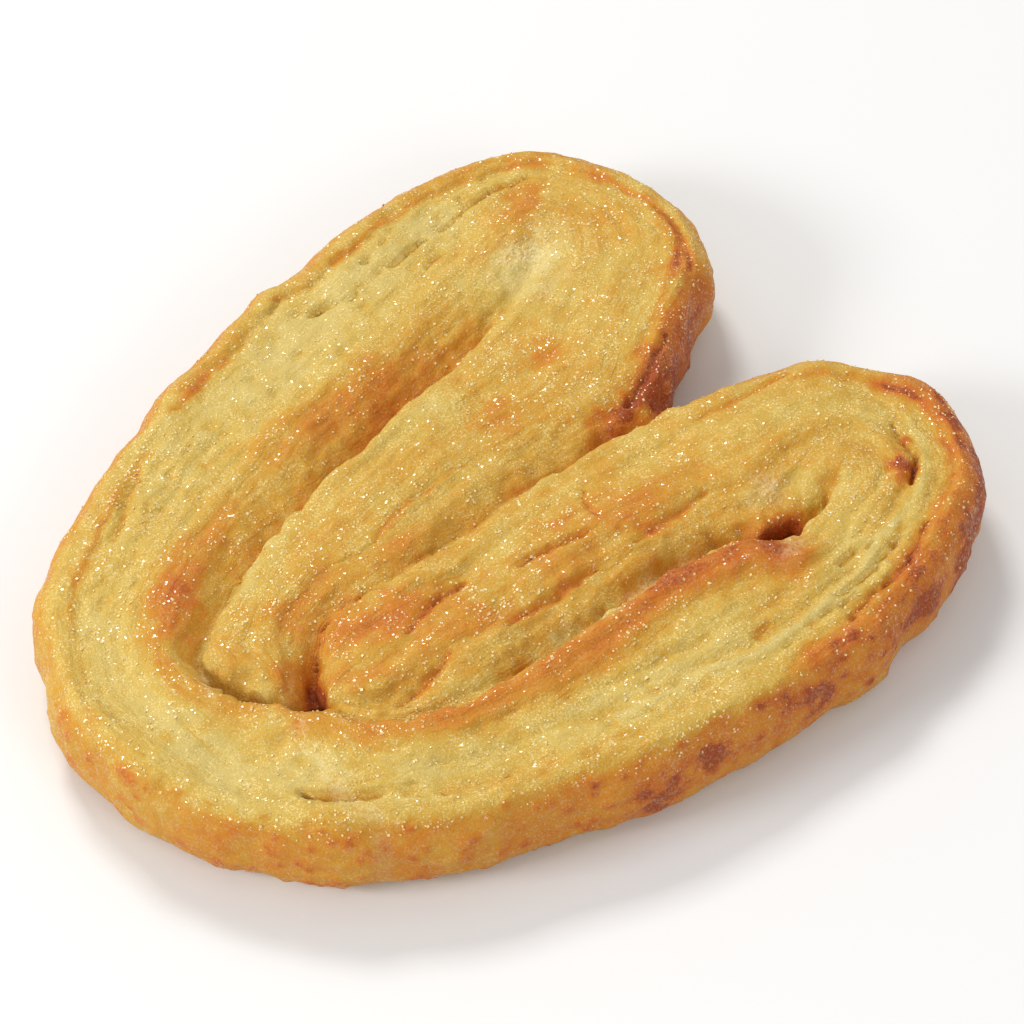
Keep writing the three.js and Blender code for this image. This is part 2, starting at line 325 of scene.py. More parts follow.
class PalmierStage(bpy.types.PropertyGroup):
    """Camera, table and studio light"""

    azimuth: bpy.props.FloatProperty(
        name="Azimuth",
        description="Camera's direction round the pastry",
        default=math.radians(45),
        subtype="ANGLE",
    )
    elevation: bpy.props.FloatProperty(
        name="Elevation",
        description="Camera's height over the table",
        default=math.radians(50),
        subtype="ANGLE",
    )
    distance: bpy.props.FloatProperty(
        name="Distance", description="From the camera to the pastry", default=0.400, unit="LENGTH"
    )
    lens: bpy.props.FloatProperty(name="Lens", description="Focal length in millimetres", default=122.3)
    table: bpy.props.FloatVectorProperty(
        name="Table",
        description="The table's colour",
        default=(0.78, 0.78, 0.78),
        subtype="COLOR",
        min=0.0,
        max=1.0,
    )
    key: bpy.props.FloatProperty(name="Key light", description="Power of the main softbox", default=10.4)
    fill: bpy.props.FloatProperty(name="Fill light", description="Power of the fill softbox", default=3.4)
    sky: bpy.props.FloatProperty(
        name="Room light",
        description="Strength of the even room light",
        default=0.6,
    )


# ---------------------------------------------------------------------------------------------
# Noise and curves
# ---------------------------------------------------------------------------------------------


def lattice_noise(points, seed):
    """Smooth noise from -1 to 1 at points given in lattice units."""
    rng = np.random.default_rng(seed)
    order = rng.permutation(256)
    values = rng.uniform(-1.0, 1.0, 256)
    cell = np.floor(points).astype(np.int64)
    part = points - cell
    ease = part**3 * (part * (part * 6 - 15) + 10)
    total = np.zeros(len(points))
    for dx in (0, 1):
        row = order[(cell[:, 0] + dx) & 255]
        wx = ease[:, 0] if dx else 1 - ease[:, 0]
        for dy in (0, 1):
            column = order[(row + cell[:, 1] + dy) & 255]
            wy = ease[:, 1] if dy else 1 - ease[:, 1]
            for dz in (0, 1):
                wz = ease[:, 2] if dz else 1 - ease[:, 2]
                total += values[order[(column + cell[:, 2] + dz) & 255]] * wx * wy * wz
    return total


def noise(points, size, seed, octaves=1):
    """Noise whose lumps are about size across, with finer lumps added."""
    points = np.atleast_2d(points)
    if points.shape[1] == 2:
        points = np.column_stack([points, np.full(len(points), 0.5)])
    total = np.zeros(len(points))
    strength, reach = 1.0, 0.0
    for k in range(octaves):
        total += strength * lattice_noise(points / size * 2**k + 17.3 * k, seed + k)
        reach += strength
        strength *= 0.5
    return total / reach * 1.5


def smooth_curve(points, closed=False, spacing=0.3):
    """Samples along a smooth curve through rows whose first two values are x and y."""
    rows = np.asarray(points, float)
    n = len(rows)
    samples = []
    for i in range(n if closed else n - 1):
        p1, p2 = rows[i], rows[(i + 1) % n]
        p0 = rows[i - 1] if closed or i else 2 * p1 - p2
        p3 = rows[(i + 2) % n] if closed or i + 2 < n else 2 * p2 - p1
        steps = max(2, math.ceil(np.hypot(*(p2 - p1)[:2]) / spacing))
        t = (np.arange(steps) / steps)[:, None]
        bend = 2 * p0 - 5 * p1 + 4 * p2 - p3
        twist = 3 * p1 - p0 - 3 * p2 + p3
        samples.append(0.5 * (2 * p1 + (p2 - p0) * t + bend * t**2 + twist * t**3))
    if not closed:
        samples.append(rows[-1:])
    return np.concatenate(samples)


def to_curve(line, xy, closed=False):
    """Distance to a sampled curve, which side of it from -1 (right) to 1 (left), nearest sample.

    Past an open end the side passes smoothly through 0.
    """
    flat = line[:, :2].astype(np.float32)
    where = np.asarray(xy, np.float32)
    index = np.empty(len(where), np.int64)
    for start in range(0, len(where), 6000):
        part = where[start : start + 6000]
        gap = (part[:, None, 0] - flat[None, :, 0]) ** 2 + (part[:, None, 1] - flat[None, :, 1]) ** 2
        index[start : start + 6000] = gap.argmin(1)
    if closed:
        tangent = np.roll(line[:, :2], -1, 0) - np.roll(line[:, :2], 1, 0)
    else:
        tangent = np.gradient(line[:, :2], axis=0)
    tangent /= np.hypot(tangent[:, 0], tangent[:, 1])[:, None]
    away = xy - line[index, :2]
    far = np.hypot(away[:, 0], away[:, 1])
    side = (tangent[index, 0] * away[:, 1] - tangent[index, 1] * away[:, 0]) / (far + 1e-9)
    past_end = np.zeros(len(xy), bool) if closed else (index == 0) | (index == len(line) - 1)
    return far, np.where(past_end, side, np.where(side >= 0, 1.0, -1.0)), index


def ramp(value, low, high):
    """Rises smoothly from 0 at low to 1 at high."""
    t = np.clip((value - low) / (high - low), 0, 1)
    return t * t * (3 - 2 * t)


def hump(value, middle, spread):
    return np.exp(-(((value - middle) / spread) ** 2))


class PlanGrid:
    """Distances to the outline and the grooves, worked out once on a fine grid and read anywhere."""

    STEP = 0.3

    def __init__(self):
        self.low = np.array([-49.0, -58.0])
        self.shape = (328, 388)
        ix, iy = np.meshgrid(np.arange(self.shape[0]), np.arange(self.shape[1]), indexing="ij")
        xy = np.column_stack([ix.ravel(), iy.ravel()]) * self.STEP + self.low
        outline = smooth_curve(NOTCH + LEFT_LOBE + BASE_CURVE + RIGHT_LOBE, closed=True)
        far, side, _ = to_curve(outline, xy, closed=True)
        self.fields = {"inside": far * side}
        for name, table in (("fold", FOLD_GROOVE), ("divide", DIVIDING_GROOVE), ("ridge", FLANK_RIDGE)):
            line = smooth_curve(table)
            far, side, at = to_curve(line, xy)
            self.fields[name + "_away"] = far
            self.fields[name + "_side"] = side
            for column in range(2, line.shape[1]):
                self.fields[f"{name}_{column}"] = line[at, column]
        self.fields = {k: v.reshape(self.shape) for k, v in self.fields.items()}

    def at(self, xy):
        """All the distances at some places, with the share of the way across each fold."""
        where = (np.asarray(xy, float) - self.low) / self.STEP
        where = np.clip(where, 0, np.array(self.shape) - 1.001)
        i = where.astype(int)
        f = where - i
        spot = SimpleNamespace()
        for name, field in self.fields.items():
            low = field[i[:, 0], i[:, 1]] * (1 - f[:, 0]) + field[i[:, 0] + 1, i[:, 1]] * f[:, 0]
            high = field[i[:, 0], i[:, 1] + 1] * (1 - f[:, 0]) + field[i[:, 0] + 1, i[:, 1] + 1] * f[:, 0]
            setattr(spot, name, low * (1 - f[:, 1]) + high * f[:, 1])
        spot.flank = 0.5 - 0.5 * spot.fold_side
        spot.tongue = 1 - spot.flank
        outer = np.minimum(np.maximum(spot.inside, 0), spot.divide_away)
        spot.share = outer / (outer + spot.fold_away + 1e-6)
        spot.layer = spot.share * LAYERS
        return spot


def ragged(xy, amount, seed):
    """Places moved a little, so that edges run unevenly."""
    x = noise(xy, 2.6, seed, 2) + 0.8 * noise(xy, 1.0, seed + 5)
    y = noise(xy, 2.6, seed + 9, 2) + 0.8 * noise(xy, 1.0, seed + 14)
    return xy + amount * np.column_stack([x, y])


def groove(away, side, depth, left, right):
    """How far a groove cuts down: each side slopes over its own distance."""
    width = 0.5 * (left * (1 + side) + right * (1 - side))
    return depth * np.exp(-((away / width) ** 1.3))


def top_height(plan, xy, level):
    """Height of the baked upper face over the tray."""
    xy = ragged(xy, 0.34, 31)
    spot = plan.at(xy)
    x, y = xy[:, 0], xy[:, 1]
    height = level + 0.35 * noise(xy, 17, 40) + 0.22 * noise(xy, 7, 44)
    height -= 0.5 * ramp(y, -34, -52) + 0.5 * ramp(x, 30, 46)
    rolled = np.clip(ramp(-x, 14, 24) + ramp(y, 30, 44) * ramp(x, 10, 26), 0, 1)
    height += 0.32 * hump(spot.inside, 2.6, 1.3)
    height -= 0.5 * hump(spot.inside, 4.7, 0.6) * rolled * ramp(noise(xy, 9, 47), -0.7, 0.1)
    height -= spot.flank * 0.40 * hump(spot.share, 0.45, 0.2)
    height += spot.flank * 0.50 * hump(spot.share, 0.74, 0.14) * ramp(x, 6, -6)
    height += spot.tongue * 0.45 * hump(spot.share, 0.5, 0.3)
    folds = noise(np.column_stack([xy * 0.28, spot.share * 22]), 3.4, 51, 2)
    height += (spot.flank * 0.16 + spot.tongue * (0.42 + 0.13 * spot.divide_side)) * folds
    ridge_width = 2.55 - 0.85 * spot.ridge_side
    height += spot.ridge_2 * np.exp(-((spot.ridge_away / ridge_width) ** 2))
    height -= groove(spot.fold_away, spot.fold_side, spot.fold_2, spot.fold_3, spot.fold_4)
    cut = groove(spot.divide_away, spot.divide_side, spot.divide_2, spot.divide_3, spot.divide_4)
    height -= cut * ramp(y, 36, 32) * ramp(y, -34, -31)
    return height


def under_height(plan, xy):
    """Height of the underside, which the tray pressed flat apart from the grooves."""
    spot = plan.at(ragged(xy, 0.3, 61))
    fold = 1.3 * np.exp(-spot.fold_away / 0.9) * np.clip(spot.fold_2 / 2, 0, 1)
    return fold + 1.1 * np.exp(-spot.divide_away / 0.9)


def gap_distance(gap, xyz, level):
    """Positive inside a leaning elliptical gap between folds."""
    lean_x, lean_y = math.sin(gap["lean"]), math.cos(gap["lean"])
    drop = level - xyz[:, 2]
    x = xyz[:, 0] - gap["x"] + gap["drift"] * drop
    y = xyz[:, 1] - gap["y"] - gap["drift"] * drop
    along = (x * lean_x + y * lean_y) / gap["long"]
    across = (x * lean_y - y * lean_x) / gap["wide"]
    room = 1 - gap["taper"] * np.clip(drop, 0, None)
    wall = (room - np.hypot(along, across)) * gap["wide"]
    return np.minimum(wall, xyz[:, 2] - gap["floor"])


def soft_least(a, b, blend):
    share = np.clip(0.5 + 0.5 * (b - a) / blend, 0, 1)
    return b + (a - b) * share - blend * share * (1 - share)


def dough_field(plan, level, step):
    """Positive inside the dough, on a grid of points."""
    low = np.array(GRID_LOW)
    count = (np.array([*GRID_SIZE, level + ROOM_ABOVE]) / step).astype(int)
    ix, iy = np.meshgrid(np.arange(count[0]), np.arange(count[1]), indexing="ij")
    xy = np.column_stack([ix.ravel(), iy.ravel()]) * step + low[:2]
    inside = plan.at(xy + 0.5 * np.column_stack([noise(xy, 6, 71, 2), noise(xy, 6, 75, 2)])).inside
    top = top_height(plan, xy, level)
    under = under_height(plan, xy)
    z = low[2] + step * np.arange(count[2])
    waist = 0.44 * level
    bulge = 2.3 * (np.abs(z - waist) / waist) ** 2.3
    above = np.clip((z - waist) / (level - waist), 0, None)
    bulge = np.where(z > waist, 0.75 * 2.3 * above**2.6, bulge)
    wall = inside[:, None] - bulge[None, :]
    field = soft_least(wall, top[:, None] - z[None, :], 2.4)
    field = soft_least(field, z[None, :] - under[:, None], 0.8)
    for gap in (TIP_HOLE, BASE_PIT):
        near = np.hypot(xy[:, 0] - gap["x"], xy[:, 1] - gap["y"]) < 16
        rows = np.nonzero(near)[0]
        xyz = np.column_stack([np.repeat(xy[rows], len(z), 0), np.tile(z, len(rows))])
        xyz[:, :2] = ragged(xyz[:, :2], 0.22, 81)
        cut = -gap_distance(gap, xyz, level).reshape(len(rows), len(z))
        field[rows] = soft_least(field[rows], cut, 0.5)
    return field.reshape(tuple(count)), low


CUBE_EDGES = [
    ((0, 0, 0), (1, 0, 0)), ((0, 1, 0), (1, 1, 0)), ((0, 0, 1), (1, 0, 1)), ((0, 1, 1), (1, 1, 1)),
    ((0, 0, 0), (0, 1, 0)), ((1, 0, 0), (1, 1, 0)), ((0, 0, 1), (0, 1, 1)), ((1, 0, 1), (1, 1, 1)),
    ((0, 0, 0), (0, 0, 1)), ((1, 0, 0), (1, 0, 1)), ((0, 1, 0), (0, 1, 1)), ((1, 1, 0), (1, 1, 1)),
]


def surface_net(field, low, step):
    """A closed mesh of quads where the field crosses zero."""
    inside = field > 0
    nx, ny, nz = (size - 1 for size in field.shape)
    corners = sum(
        inside[dx : nx + dx, dy : ny + dy, dz : nz + dz].astype(int)
        for dx in (0, 1)
        for dy in (0, 1)
        for dz in (0, 1)
    )
    cells = np.argwhere((corners > 0) & (corners < 8))
    number = np.full(corners.shape, -1)
    number[tuple(cells.T)] = np.arange(len(cells))
    total = np.zeros((len(cells), 3))
    crossings = np.zeros(len(cells))
    for start, end in CUBE_EDGES:
        start, end = np.array(start), np.array(end)
        a = field[tuple((cells + start).T)]
        b = field[tuple((cells + end).T)]
        crossed = (a > 0) != (b > 0)
        t = np.where(crossed, a / np.where(crossed, a - b, 1.0), 0)
        total += np.where(crossed[:, None], start + t[:, None] * (end - start), 0)
        crossings += crossed
    points = low + step * (cells + total / crossings[:, None])
    quads = []
    for axis in range(3):
        u, v = np.eye(3, dtype=int)[(axis + 1) % 3], np.eye(3, dtype=int)[(axis + 2) % 3]
        ahead = np.take(inside, np.arange(1, field.shape[axis]), axis)
        behind = np.take(inside, np.arange(field.shape[axis] - 1), axis)
        at = np.argwhere(ahead != behind)
        facing = behind[tuple(at.T)]
        ring = [number[tuple((at - move).T)] for move in (u + v, v, 0 * u, u)]
        face = np.column_stack(ring)
        quads.append(np.where(facing[:, None], face, face[:, ::-1]))
    return points, np.concatenate(quads)


def vertex_normals(points, quads):
    a, b, c, d = (points[quads[:, k]] for k in range(4))
    facing = np.cross(c - a, d - b)
    normals = np.zeros_like(points)
    for k in range(4):
        for axis in range(3):
            normals[:, axis] += np.bincount(quads[:, k], facing[:, axis], len(points))
    return normals / (np.linalg.norm(normals, axis=1, keepdims=True) + 1e-12)


def crack_share(xy):
    """How deep each place lies in a crack, and how deep that crack cuts."""
    moved = ragged(xy, 0.22, 91)
    depth = np.zeros(len(xy))
    share = np.zeros(len(xy))
    for start, middle, end, width, deep in CRACKS:
        line = smooth_curve([start, middle, end], spacing=0.25)
        near = (moved[:, 0] > line[:, 0].min() - 2) & (moved[:, 0] < line[:, 0].max() + 2)
        near &= (moved[:, 1] > line[:, 1].min() - 2) & (moved[:, 1] < line[:, 1].max() + 2)
        rows = np.nonzero(near)[0]
        if not len(rows):
            continue
        away, _, at = to_curve(line, moved[rows])
        along = at / (len(line) - 1)
        width_here = width * (0.35 + 0.65 * np.sqrt(np.clip(4 * along * (1 - along), 0, 1)))
        here = np.clip(1 - (away / width_here) ** 2, 0, 1)
        here *= (at > 0) & (at < len(line) - 1)
        share[rows] = np.maximum(share[rows], here)
        depth[rows] = np.maximum(depth[rows], here * deep)
    return share, depth


def patches(places, xy, seed):
    """Sum of soft, ragged-edged oval patches."""
    moved = ragged(xy, 0.9, seed)
    total = np.zeros(len(xy))
    for x, y, long, wide, lean, amount in places:
        dx, dy = moved[:, 0] - x, moved[:, 1] - y
        along = (-dx * math.sin(lean) + dy * math.cos(lean)) / long
        across = (dx * math.cos(lean) + dy * math.sin(lean)) / wide
        total += amount * np.exp(-((along**2 + across**2) ** 1.2))
    return total


def relief(spot, points, normals, level, strength):
    """Layers, lumps, pores and cracks, pushed along the surface."""
    xy = points[:, :2]
    up = np.clip(normals[:, 2], 0, 1)
    upper = ramp(points[:, 2], level - 4.5, level - 1.5)
    side = 1 - np.abs(normals[:, 2])
    sheet = np.column_stack([xy * 0.16, spot.layer])
    strata = np.column_stack([xy * 0.05, spot.layer])
    push = 0.26 * noise(points, 6.5, 101, 2) * (0.35 + side)
    push += (0.07 + 0.07 * side) * noise(points, 2.2, 105, 2)
    layers = (0.07 + 0.06 * spot.flank) * noise(sheet, 1.2, 111, 2) + 0.17 * noise(strata, 1.2, 117, 3)
    push += upper * up * layers
    flakes = np.column_stack([points[:, 0] * 0.2, points[:, 1] * 0.2, points[:, 2]])
    push += side * 0.14 * noise(flakes, 0.9, 121, 2)
    pores = ramp(noise(np.column_stack([xy * 0.4, spot.layer]), 0.85, 131), 0.42, 0.95)
    pores *= hump(spot.share, 0.38, 0.26) * spot.flank * up
    push += 0.05 * noise(points, 0.9, 141) * up - 0.35 * pores
    moved = points + strength * push[:, None] * normals
    wobble = spot.inside + 0.5 * noise(xy, 6, 217)
    rings = hump(wobble, 8.6, 0.45) + 0.8 * hump(wobble, 11.4, 0.45) + 0.6 * hump(wobble, 5.9, 0.4)
    rings *= ramp(xy[:, 0], 20, 28) * ramp(xy[:, 1], -20, -4) * ramp(noise(xy, 4, 137), -0.6, 0.2)
    moved[:, 2] += (0.16 * hump(wobble, 7.3, 0.5) * ramp(xy[:, 0], 20, 28) - 0.42 * rings) * up * upper
    _, depth = crack_share(xy)
    moved[:, 2] -= depth * up * upper
    return moved, 0.35 * pores


def blister_spots(points, inside, level, seed):
    """Little round blisters on the outer crust: 1 at the middle of each."""
    rng = np.random.default_rng(seed)
    wall = np.nonzero((inside < 2.6) & (points[:, 2] > 1.0) & (points[:, 2] < level - 0.8))[0]
    x, y = points[wall, 0], points[wall, 1]
    likely = 0.15 + ramp(x - y, 30, 52) + 0.7 * ramp(x, 30, 42) * ramp(y, 0, 30)
    centres = points[rng.choice(wall, BLISTERS, replace=False, p=likely / likely.sum())]
    radius = rng.uniform(0.35, 0.85, BLISTERS)
    spots = np.zeros(len(points))
    for centre, r in zip(centres, radius):
        near = wall[np.abs(points[wall] - centre).max(1) < 1.2]
        away = np.linalg.norm(points[near] - centre, axis=1) / r
        spots[near] = np.maximum(spots[near], np.exp(-(away**2.5)))
    return spots


def browning_and_shade(spot, points, normals, level):
    """0 for pale crumb, 1 for burnt sugar, with painted shade added in the grooves, the gaps and on the
    notch's wall.
    """
    xy = points[:, :2]
    x, y, z = points.T
    brown = 0.33 + 0.03 * ramp(x, 0, 12) + 0.09 * noise(points, 7, 161, 2)
    brown += 0.07 * noise(points, 2.4, 165, 2)
    brown += -0.13 * spot.flank * hump(spot.share, 0.42, 0.2) + 0.07 * spot.tongue
    brown += 0.13 * spot.flank * hump(spot.share, 0.8, 0.13) * ramp(x, 8, 4)
    ridge_width = 2.3 + 0.8 * ramp(y, -16, 2) - 0.4 * spot.ridge_side
    ridge = np.clip(spot.ridge_2, 0, 1) * np.exp(-((spot.ridge_away / ridge_width) ** 2.4))
    brown += (0.38 + 0.20 * ramp(y, -10, 8)) * ridge
    brown += patches(BROWNED, xy, 171) - patches(PALE, xy, 175)
    crust_line = hump(spot.inside, 4.6, 0.6) * np.clip(ramp(-x, 14, 24) + ramp(y, 30, 44), 0, 1)
    brown += 0.34 * crust_line * ramp(noise(xy, 6, 181), -0.6, 0.4)
    left_rim = ramp(-x, 22, 30) * ramp(spot.inside, 5.4, 4.4)
    brown += left_rim * (0.02 + 0.12 * ramp(noise(xy, 5, 183, 2), -0.3, 0.6))
    tip_rim = ramp(spot.inside, 6.4, 2.4) * ramp(x, 18, 28) * ramp(y, 2, 16)
    brown += tip_rim * (0.50 + 0.20 * noise(points, 2.2, 185, 3))
    fold_near = np.exp(-spot.fold_away / 1.2) * np.clip(spot.fold_2 / 3, 0, 1)
    divide_near = np.exp(-spot.divide_away / 1.2) * np.clip(spot.divide_2 / 3, 0, 1)
    brown += 0.10 * (spot.flank * fold_near - 2.6 * spot.tongue * fold_near**1.6) * ramp(x, 10, 6)
    brown -= 0.26 * spot.flank * ramp(spot.fold_away, 1.6, 0.4) * ramp(x, 24, 27)
    brown -= 0.10 * spot.divide_side * divide_near * spot.tongue
    # painted shade: browner the further the dough lies below the flat of the folds, away from the outer edge
    brown += 0.17 * ramp(level - z, 1.0, 3.8) * ramp(spot.inside, 4.0, 6.5)
    # the crust outside
    outer = ramp(spot.inside, 3.6, 1.6) * ramp(normals[:, 2], 0.93, 0.6)
    crust = 0.545 + 0.09 * ramp(x - 0.5 * y, 26, 42) + 0.07 * noise(points, 6, 191, 2)
    crust += 0.06 * noise(points, 1.6, 195, 2)
    towards_right = ramp(x, 34, 42) * ramp(y, -20, 2)
    crust += towards_right * (0.06 + 0.20 * ramp(noise(points, 3.0, 201, 3), -0.5, 0.4)) * ramp(z, 3, 7)
    # painted shade on the crust of the notch's wall
    crust += 0.34 * ramp(x, -9, -3) * ramp(y, 22, 28) * (x < 4.4) * ramp(x, 9, 3)
    crust += 0.30 * ramp(y, 36, 44) * ramp(x, 18, 26) * ramp(noise(points, 3.2, 207, 2), -0.4, 0.5)
    crust += 0.13 * ramp(x, 29, 36) * ramp(y, 18, 32)
    crust += 0.10 * ramp(-x, 28, 36) * ramp(noise(points, 5, 209), -0.2, 0.6)
    crust += 0.06 * ramp(z, 5, 1) * noise(points, 2.2, 208)
    brown = brown * (1 - outer) + crust * outer
    mottled = 0.72 + 0.7 * noise(points, 1.5, 213, 3)
    uneven = points + 0.8 * np.column_stack([noise(points, 2.2, 205 + 3 * k, 2) for k in range(3)])
    # scorch marks, and painted shade on the notch's wall
    for px, py, pz, radius, amount in SCORCH_AND_NOTCH_SHADE:
        apart = np.linalg.norm(uneven - (px, py, pz), axis=1) / radius
        brown += amount * np.exp(-(apart**2.2)) * np.clip(mottled, 0.2, 1.3)
    wobble = spot.inside + 0.5 * noise(xy, 6, 217)
    edge_line = hump(wobble, 7.3, 0.45) * ramp(x, 22, 30) * ramp(y, -14, 2)
    brown -= 0.24 * edge_line - 0.10 * hump(wobble, 8.6, 0.4) * ramp(x, 22, 30)
    spots = blister_spots(points, spot.inside, level, 211)
    brown += 0.26 * spots
    # walls of the gaps: painted shade, browner further down into each gap
    for gap, amount in ((TIP_HOLE, 0.30), (BASE_PIT, 0.40)):
        reach = -gap_distance(gap, points, level)
        brown += amount * ramp(reach, 1.1, 0.2) * ramp(z, level - 0.4, level - 3.0)
    # the side that lay on the tray
    below = ramp(-normals[:, 2], 0.3, 0.8)
    tray_side = 0.60 + 0.16 * noise(points, 9, 221, 3) + 0.12 * hump(spot.share, 0.8, 0.2)
    brown = brown * (1 - below) + tray_side * below
    return np.clip(brown, 0, 1.05), spots


def shine_mask(points, brown):
    """Where melted sugar has glazed the crust."""
    wet = 0.25 + ramp(brown, 0.30, 0.62) * 0.75 + 0.25 * noise(points, 3.0, 231, 2)
    return np.clip(wet, 0, 1)


def mesh_object(name, points, faces, smooth=True):
    mesh = bpy.data.meshes.new(name)
    mesh.from_pydata((points * MM).tolist(), [], faces.tolist())
    mesh.polygons.foreach_set("use_smooth", np.full(len(faces), smooth))
    mesh.update()
    mesh.validate()
    piece = bpy.data.objects.new(name, mesh)
    bpy.context.scene.collection.objects.link(piece)
    return piece


def store(piece, name, values):
    layer = piece.data.attributes.new(name, "FLOAT", "POINT")
    layer.data.foreach_set("value", np.asarray(values, np.float32))


# ---------------------------------------------------------------------------------------------
# Materials
# ---------------------------------------------------------------------------------------------


class Nodes:
    """Places nodes in a tree from left to right and links them."""

    def __init__(self, tree):
        self.tree = tree
        self.column = 0

    def add(self, kind, inputs=None, **settings):
        node = self.tree.nodes.new(kind)
        node.location = (180 * (self.column % 12), -220 * (self.column // 12))
        self.column += 1
        for key, value in settings.items():
            setattr(node, key, value)
        for key, value in (inputs or {}).items():
            socket = node.inputs[key]
            if isinstance(value, bpy.types.NodeSocket):
                self.tree.links.new(value, socket)
            else:
                socket.default_value = value
        return node

    def math(self, operation, a, b=0.0, c=0.0, clamp=False):
        node = self.add("ShaderNodeMath", {0: a, 1: b, 2: c}, operation=operation, use_clamp=clamp)
        return node.outputs[0]

    def spread(self, value, low, high, out_low=0.0, out_high=1.0):
        node = self.add(
            "ShaderNodeMapRange",
            {"Value": value, "From Min": low, "From Max": high, "To Min": out_low, "To Max": out_high},
            interpolation_type="SMOOTHSTEP",
        )
        return node.outputs["Result"]

    def mix(self, factor, a, b):
        node = self.add("ShaderNodeMix", data_type="RGBA", blend_type="MIX")
        for key, value in ((0, factor), (6, a), (7, b)):
            socket = node.inputs[key]
            if isinstance(value, bpy.types.NodeSocket):
                self.tree.links.new(value, socket)
            elif key == 0:
                socket.default_value = value
            else:
                socket.default_value = (*value, 1.0)
        return node.outputs[2]

    def noise(self, vector, scale, detail=2.0, roughness=0.5):
        node = self.add(
            "ShaderNodeTexNoise",
            {"Vector": vector, "Scale": scale, "Detail": detail, "Roughness": roughness},
        )
        return node.outputs[0]


def baked_shades_group(colours):
    """Colour of dough by how brown it is, for crust and for the syrup on sugar."""
    group = bpy.data.node_groups.new("baked_shades", "ShaderNodeTree")
    group.interface.new_socket("Browning", in_out="INPUT", socket_type="NodeSocketFloat")
    group.interface.new_socket("Shade", in_out="OUTPUT", socket_type="NodeSocketColor")
    n = Nodes(group)
    given = n.add("NodeGroupInput")
    shades = n.add("ShaderNodeValToRGB", {"Fac": given.outputs["Browning"]})
    ladder = shades.color_ramp
    stops = [
        (0.06, colours.crumb), (0.26, colours.straw), (0.48, colours.golden), (0.70, colours.amber),
        (0.90, colours.chestnut), (1.0, colours.burnt),
    ]
    while len(ladder.elements) < len(stops):
        ladder.elements.new(0.5)
    for element, (position, colour) in zip(ladder.elements, stops):
        element.position = position
        element.color = (*colour, 1.0)
    out = n.add("NodeGroupOutput")
    group.links.new(shades.outputs[0], out.inputs["Shade"])
    return group


def baked_grain_group():
    """Fine grain of baked dough, for any material in millimetre coordinates."""
    group = bpy.data.node_groups.new("baked_grain", "ShaderNodeTree")
    face = group.interface
    face.new_socket("Place", in_out="INPUT", socket_type="NodeSocketVector")
    face.new_socket("Layer", in_out="INPUT", socket_type="NodeSocketFloat")
    face.new_socket("Streaks", in_out="OUTPUT", socket_type="NodeSocketFloat")
    face.new_socket("Strata", in_out="OUTPUT", socket_type="NodeSocketFloat")
    face.new_socket("Grain", in_out="OUTPUT", socket_type="NodeSocketFloat")
    face.new_socket("Pores", in_out="OUTPUT", socket_type="NodeSocketFloat")
    n = Nodes(group)
    given = n.add("NodeGroupInput")
    apart = n.add("ShaderNodeSeparateXYZ", {"Vector": given.outputs["Place"]})
    slow = [n.math("MULTIPLY", apart.outputs[k], 0.17) for k in (0, 1)]
    layer = given.outputs["Layer"]
    sheet = n.add("ShaderNodeCombineXYZ", {0: slow[0], 1: slow[1], 2: layer}).outputs[0]
    streaks = n.noise(sheet, 1.1, 3.0, 0.62)
    slower = [n.math("MULTIPLY", apart.outputs[k], 0.045) for k in (0, 1)]
    long_sheet = n.add("ShaderNodeCombineXYZ", {0: slower[0], 1: slower[1], 2: layer}).outputs[0]
    strata = n.noise(long_sheet, 1.0, 3.0, 0.6)
    grain = n.noise(given.outputs["Place"], 1.9, 3.0, 0.6)
    cells = n.add("ShaderNodeTexVoronoi", {"Vector": given.outputs["Place"], "Scale": 1.5, "Randomness": 1.0})
    pores = n.spread(cells.outputs["Distance"], 0.05, 0.55)
    out = n.add("NodeGroupOutput")
    for name, value in (("Streaks", streaks), ("Strata", strata), ("Grain", grain), ("Pores", pores)):
        group.links.new(value, out.inputs[name])
    return group


def new_material(name):
    material = bpy.data.materials.new(name)
    material.use_nodes = True
    tree = material.node_tree
    tree.nodes.clear()
    n = Nodes(tree)
    shader = n.add("ShaderNodeBsdfPrincipled")
    out = n.add("ShaderNodeOutputMaterial", {"Surface": shader.outputs[0]})
    out.location = (2400, 0)
    return material, n, shader


def join(n, value, socket):
    n.tree.links.new(value, socket)


